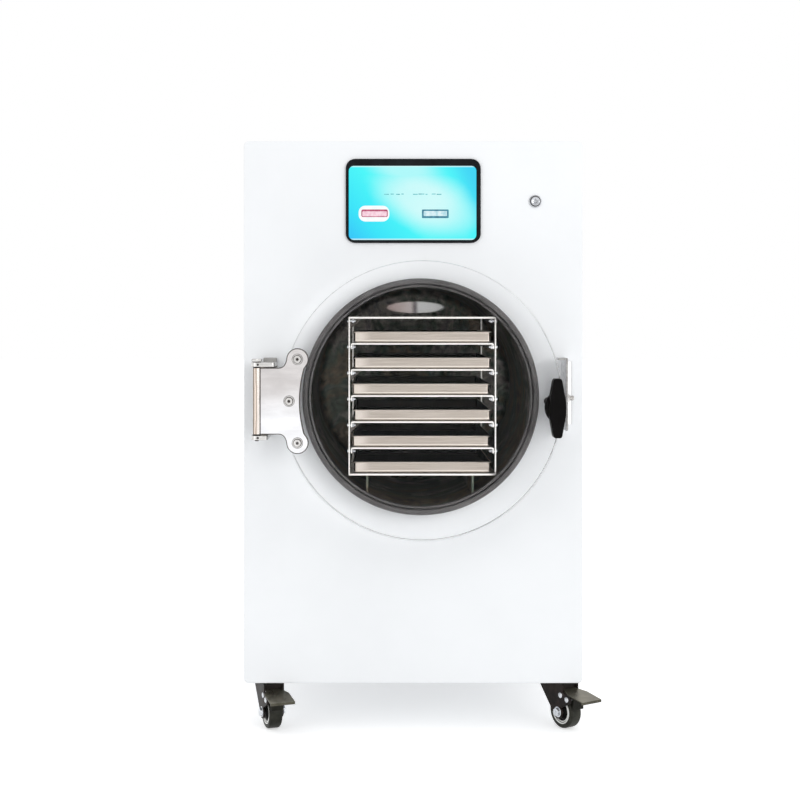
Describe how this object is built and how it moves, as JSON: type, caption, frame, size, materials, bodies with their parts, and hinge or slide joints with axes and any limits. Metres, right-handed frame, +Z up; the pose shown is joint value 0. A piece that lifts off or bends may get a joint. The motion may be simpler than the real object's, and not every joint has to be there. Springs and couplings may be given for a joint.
{
  "type": "freeze dryer",
  "caption": "Floor-standing freeze dryer: white cabinet with a round vacuum chamber behind a hinged clear door, a rack of heated shelves with trays, a touch screen and braked casters.",
  "frame": {"origin": "on the floor, at the middle of the footprint", "axes": "+X to the right seen from the front, +Y from the front into the cabinet, +Z up"},
  "size_m": [0.5522, 0.7356, 0.872],
  "materials": {
    "white_paint": "smooth semi-gloss powder coat",
    "zinc_sheet": "zinc-plated sheet",
    "drum_steel": "drawn stainless steel",
    "shelf_steel": "bright stainless sheet",
    "tray_steel": "warm satin stainless sheet",
    "polished_steel": "mirror-polished stainless plate",
    "zinc_fastener": "bright plated",
    "button_steel": "turned stainless",
    "copper_tube": "drawn copper",
    "foam": "sprayed polyurethane foam",
    "gasket_rubber": "matt charcoal rubber",
    "clear_acrylic": "clear cast acrylic, polished rim",
    "black_plastic": "fine-grained black moulding",
    "screen": "lit cyan display behind glass",
    "black_enamel": "black enamel",
    "fork_steel": "glossy dark electro-coat",
    "pedal_steel": "glossy grey-brown coat",
    "caster_tyre": "black tread round a pale hub ring"
  },
  "bodies": {
    "cabinet": {"front_panel": "white_paint", "side_panel_left": "white_paint", "side_panel_right": "white_paint", "top_panel": "white_paint", "rear_panel": "white_paint", "base_frame": "zinc_sheet", "vacuum_chamber": "drum_steel", "evaporator_coil": "copper_tube", "chamber_insulation": "foam", "door_gasket": "gasket_rubber", "hinge_bracket_top": "polished_steel", "hinge_bracket_bottom": "polished_steel", "hinge_pin": "polished_steel", "keeper_bracket": "polished_steel", "keeper_bolt": "zinc_fastener", "shelf_rack": "shelf_steel", "screen_bezel": "black_plastic", "touch_screen": "screen", "button_ring": "button_steel", "compressor": "black_enamel", "condenser": "black_enamel", "control_box": "zinc_sheet", "vacuum_port": "drum_steel", "power_inlet": "black_plastic", "heated_shelf_1": "shelf_steel", "heated_shelf_2": "shelf_steel", "heated_shelf_3": "shelf_steel", "heated_shelf_4": "shelf_steel", "heated_shelf_5": "shelf_steel", "tray_1": "tray_steel", "tray_2": "tray_steel", "tray_3": "tray_steel", "tray_4": "tray_steel", "tray_5": "tray_steel", "tray_6": "tray_steel", "caster_plate_front_left": "zinc_sheet", "caster_plate_front_right": "zinc_sheet", "caster_plate_rear_left": "zinc_sheet", "caster_plate_rear_right": "zinc_sheet"},
    "door": {"door_disc": "clear_acrylic", "hinge_plate": "polished_steel", "hinge_screw_top": "zinc_fastener", "hinge_screw_middle": "zinc_fastener", "hinge_screw_bottom": "zinc_fastener"},
    "handle": {"door_handle": "black_plastic", "latch_cam": "polished_steel"},
    "button": {"button_cap": "button_steel"},
    "fan": {"fan_rotor": "black_plastic"},
    "swivel_front_left": {"caster_fork_front_left": "fork_steel"},
    "wheel_front_left": {"caster_wheel_front_left": "caster_tyre"},
    "pedal_front_left": {"brake_pedal_front_left": "pedal_steel"},
    "swivel_front_right": {"caster_fork_front_right": "fork_steel"},
    "wheel_front_right": {"caster_wheel_front_right": "caster_tyre"},
    "pedal_front_right": {"brake_pedal_front_right": "pedal_steel"},
    "swivel_rear_left": {"caster_fork_rear_left": "fork_steel"},
    "wheel_rear_left": {"caster_wheel_rear_left": "caster_tyre"},
    "pedal_rear_left": {"brake_pedal_rear_left": "pedal_steel"},
    "swivel_rear_right": {"caster_fork_rear_right": "fork_steel"},
    "wheel_rear_right": {"caster_wheel_rear_right": "caster_tyre"},
    "pedal_rear_right": {"brake_pedal_rear_right": "pedal_steel"}
  },
  "joints": [
    {"name": "door_hinge", "type": "hinge", "parent": "cabinet", "child": "door", "pos_m": [-0.22602, -0.3348, 0.49152], "axis": [0, 0, -1], "range_deg": [0, 120]},
    {"name": "handle_turn", "type": "hinge", "parent": "door", "child": "handle", "pos_m": [0.20302, -0.3315, 0.48252], "axis": [0, 1, 0], "range_deg": [0, 90]},
    {"name": "power_button", "type": "slide", "parent": "cabinet", "child": "button", "axis": [0, 1, 0], "range_m": [0, 0.0015], "stiffness_N_per_m": 800},
    {"name": "fan_spin", "type": "hinge", "parent": "cabinet", "child": "fan", "pos_m": [0, 0.2728, 0.1756], "axis": [0, 1, 0], "continuous": true},
    {"name": "swivel_front_left", "type": "hinge", "parent": "cabinet", "child": "swivel_front_left", "pos_m": [-0.21702, -0.2332, 0.066], "axis": [0, 0, 1], "continuous": true},
    {"name": "wheel_front_left", "type": "hinge", "parent": "swivel_front_left", "child": "wheel_front_left", "pos_m": [-0.21018, -0.25199, 0.025], "axis": [0.9397, 0.342, 0], "continuous": true},
    {"name": "brake_front_left", "type": "hinge", "parent": "swivel_front_left", "child": "pedal_front_left", "pos_m": [-0.20334, -0.27079, 0.047], "axis": [0.9397, 0.342, 0], "range_deg": [0, 8]},
    {"name": "swivel_front_right", "type": "hinge", "parent": "cabinet", "child": "swivel_front_right", "pos_m": [0.21702, -0.2332, 0.066], "axis": [0, 0, 1], "continuous": true},
    {"name": "wheel_front_right", "type": "hinge", "parent": "swivel_front_right", "child": "wheel_front_right", "pos_m": [0.22821, -0.24978, 0.025], "axis": [0.829, 0.5592, 0], "continuous": true},
    {"name": "brake_front_right", "type": "hinge", "parent": "swivel_front_right", "child": "pedal_front_right", "pos_m": [0.23939, -0.26636, 0.047], "axis": [0.829, 0.5592, 0], "range_deg": [0, 8]},
    {"name": "swivel_rear_left", "type": "hinge", "parent": "cabinet", "child": "swivel_rear_left", "pos_m": [-0.21702, 0.2788, 0.066], "axis": [0, 0, 1], "continuous": true},
    {"name": "wheel_rear_left", "type": "hinge", "parent": "swivel_rear_left", "child": "wheel_rear_left", "pos_m": [-0.22821, 0.29538, 0.025], "axis": [-0.829, -0.5592, 0], "continuous": true},
    {"name": "brake_rear_left", "type": "hinge", "parent": "swivel_rear_left", "child": "pedal_rear_left", "pos_m": [-0.23939, 0.31196, 0.047], "axis": [-0.829, -0.5592, 0], "range_deg": [0, 8]},
    {"name": "swivel_rear_right", "type": "hinge", "parent": "cabinet", "child": "swivel_rear_right", "pos_m": [0.21702, 0.2788, 0.066], "axis": [0, 0, 1], "continuous": true},
    {"name": "wheel_rear_right", "type": "hinge", "parent": "swivel_rear_right", "child": "wheel_rear_right", "pos_m": [0.21018, 0.29759, 0.025], "axis": [-0.9397, -0.342, 0], "continuous": true},
    {"name": "brake_rear_right", "type": "hinge", "parent": "swivel_rear_right", "child": "pedal_rear_right", "pos_m": [0.20334, 0.31639, 0.047], "axis": [-0.9397, -0.342, 0], "range_deg": [0, 8]}
  ]
}
